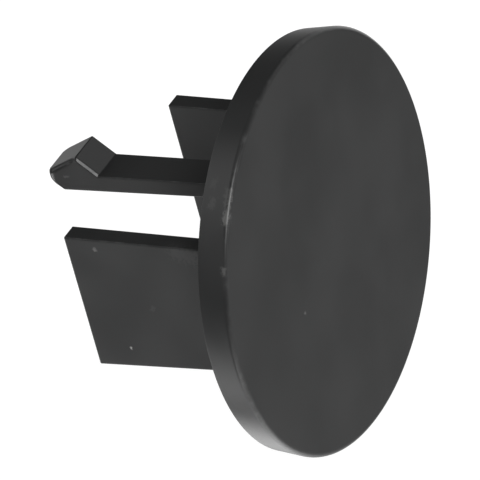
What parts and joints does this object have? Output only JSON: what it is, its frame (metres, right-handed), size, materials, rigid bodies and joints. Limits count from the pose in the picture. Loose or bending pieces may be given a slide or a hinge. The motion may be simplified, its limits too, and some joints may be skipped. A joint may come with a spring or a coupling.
{
  "type": "plastic hole plug",
  "caption": "Round flat-headed cover plug that closes a rectangular panel hole, held by barbed snap hooks between flat locating blades.",
  "frame": {"origin": "middle of the head's flat seat, in the plane of the panel's face", "axes": "+Y along the legs into the panel, +X along the hole's long side from blade to blade, +Z along its short side through the hooks"},
  "size_m": [0.025, 0.0172, 0.025],
  "materials": {
    "moulded_plastic": "black, fine moulded satin"
  },
  "bodies": {
    "root": {"hole_plug": "moulded_plastic"}
  },
  "joints": []
}
